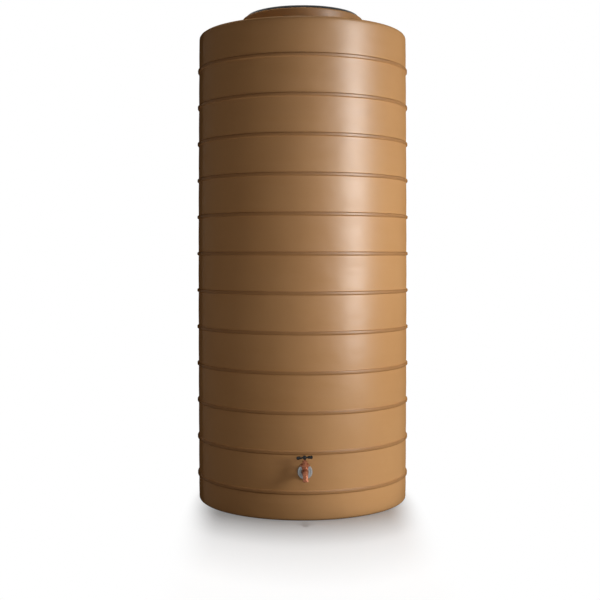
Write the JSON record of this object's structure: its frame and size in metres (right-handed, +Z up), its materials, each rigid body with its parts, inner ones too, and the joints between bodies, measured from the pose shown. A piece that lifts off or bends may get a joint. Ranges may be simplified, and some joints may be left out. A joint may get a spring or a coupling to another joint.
{
  "type": "slimline water tank",
  "caption": "Tall, narrow, round moulded water tank with hoop ribs, a screw lid in a neck collar, a tap with a T-handle low at the front and an overflow outlet high at the back.",
  "frame": {"origin": "centre of the flat floor's underside, on the tank's axis", "axes": "+Z up the tank's axis; the tap faces -Y and the overflow +Y"},
  "size_m": [0.8558, 0.9695, 1.9641],
  "materials": {
    "tank_plastic": "tan polyethylene with a satin moulded skin",
    "lid_plastic": "black moulded plastic",
    "seal_rubber": "black rubber",
    "galvanised": "zinc coating, pale blue-grey",
    "gunmetal": "red-brown cast copper alloy, machined where it is turned",
    "handle_plastic": "glossy black moulded plastic",
    "tap_rubber": "dark rubber",
    "fibre": "red vulcanised fibre",
    "screw_steel": "bright plated steel",
    "overflow_plastic": "black moulded plastic"
  },
  "bodies": {
    "tank": {"tank_shell": "tank_plastic", "outlet_outer_gasket": "seal_rubber", "outlet_inner_gasket": "seal_rubber", "outlet_backnut": "galvanised", "outlet_connector": "galvanised", "overflow_gasket": "seal_rubber", "overflow_backnut": "overflow_plastic", "overflow_connector": "overflow_plastic", "tap_body": "gunmetal", "tap_bonnet": "gunmetal", "bonnet_washer": "fibre", "gland_packing": "tap_rubber", "gland_nut": "gunmetal"},
    "valve": {"jumper_valve": "gunmetal", "tap_washer": "tap_rubber", "jumper_nut": "gunmetal"},
    "spindle": {"tap_spindle": "gunmetal", "tee_handle": "handle_plastic", "handle_screw": "screw_steel"},
    "lid_lift": {"lid_seal": "seal_rubber"},
    "lid": {"tank_lid": "lid_plastic"}
  },
  "joints": [
    {"name": "valve_rise", "type": "slide", "parent": "tank", "child": "valve", "axis": [-0.0384, 0, 0.9993], "range_m": [0, 0.00375]},
    {"name": "spindle_turn", "type": "hinge", "parent": "valve", "child": "spindle", "pos_m": [0, -0.46569, 0.183], "axis": [-0.0384, 0, 0.9993], "range_deg": [0, 450]},
    {"name": "lid_rise", "type": "slide", "parent": "tank", "child": "lid_lift", "axis": [0, 0, 1], "range_m": [0, 0.0141]},
    {"name": "lid_turn", "type": "hinge", "parent": "lid_lift", "child": "lid", "pos_m": [0, 0, 1.936], "axis": [0, 0, 1], "range_deg": [0, 360]}
  ],
  "couplings": [
    {"joint": "spindle_turn", "follows": "valve_rise", "rad_per_m": 2094.4},
    {"joint": "lid_rise", "follows": "lid_turn", "m_per_rad": 0.0022282}
  ]
}
